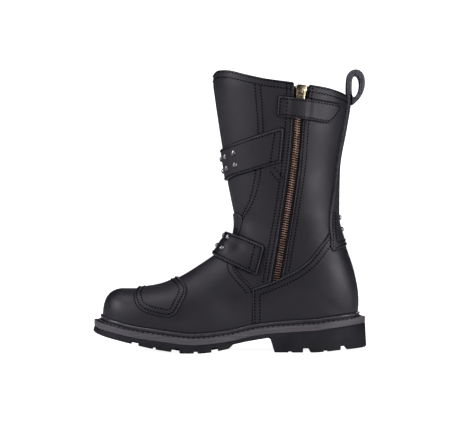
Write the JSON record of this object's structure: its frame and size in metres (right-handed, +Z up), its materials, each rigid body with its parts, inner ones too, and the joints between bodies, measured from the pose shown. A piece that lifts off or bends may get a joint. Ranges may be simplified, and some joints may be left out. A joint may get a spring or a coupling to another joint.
{
  "type": "biker boot",
  "caption": "Right biker boot with an inner side zip under a flap, studded straps, a storm welt and a lugged sole, hollow and open at the collar.",
  "frame": {"origin": "middle of the heel's tread, on the floor", "axes": "+Z up, +X from the toe to the heel, the inner (zip) side faces -Y"},
  "size_m": [0.3047, 0.1139, 0.3159],
  "materials": {
    "leather": "charcoal black oiled leather, soft grain, low sheen",
    "insole": "dark foot board, matt",
    "welt": "dark grey welt and midsole edge, satin",
    "outsole": "black moulded rubber, matt",
    "zip_tape": "black woven tape",
    "zip_teeth": "dark copper teeth",
    "zip_brass": "antique brass, worn bright on the edges",
    "steel": "dark polished steel"
  },
  "bodies": {
    "boot": {"outsole": "outsole", "midsole": "welt", "welt": "welt", "insole": "insole", "upper": "leather", "vamp": "leather", "counter": "leather", "back_stay": "leather", "shift_pad": "leather", "strap_upper": "leather", "strap_lower": "leather", "zip_tape": "zip_tape", "zip_chain": "zip_teeth", "zip_slider": "zip_brass", "zip_flap": "leather", "pull_loop": "leather", "buckle_upper": "steel", "buckle_lower": "steel", "stud_inner_1": "steel", "stud_inner_2": "steel", "stud_inner_3": "steel", "stud_inner_4": "steel", "stud_outer_1": "steel", "stud_outer_2": "steel", "stud_outer_3": "steel", "stud_outer_4": "steel", "stud_front_1": "steel", "stud_front_2": "steel", "stud_instep_1": "steel", "stud_instep_2": "steel", "stud_back_1": "steel", "stud_back_2": "steel", "stud_lower_inner_1": "steel", "stud_lower_inner_2": "steel", "stud_lower_outer_1": "steel", "stud_lower_outer_2": "steel"},
    "pull_tab": {"zip_pull": "zip_brass"}
  },
  "joints": [
    {"name": "pull_tab_hinge", "type": "hinge", "parent": "boot", "child": "pull_tab", "pos_m": [0.00406, -0.05038, 0.28849], "axis": [-0.9842, -0.142, 0.1057], "range_deg": [0, 8]}
  ]
}
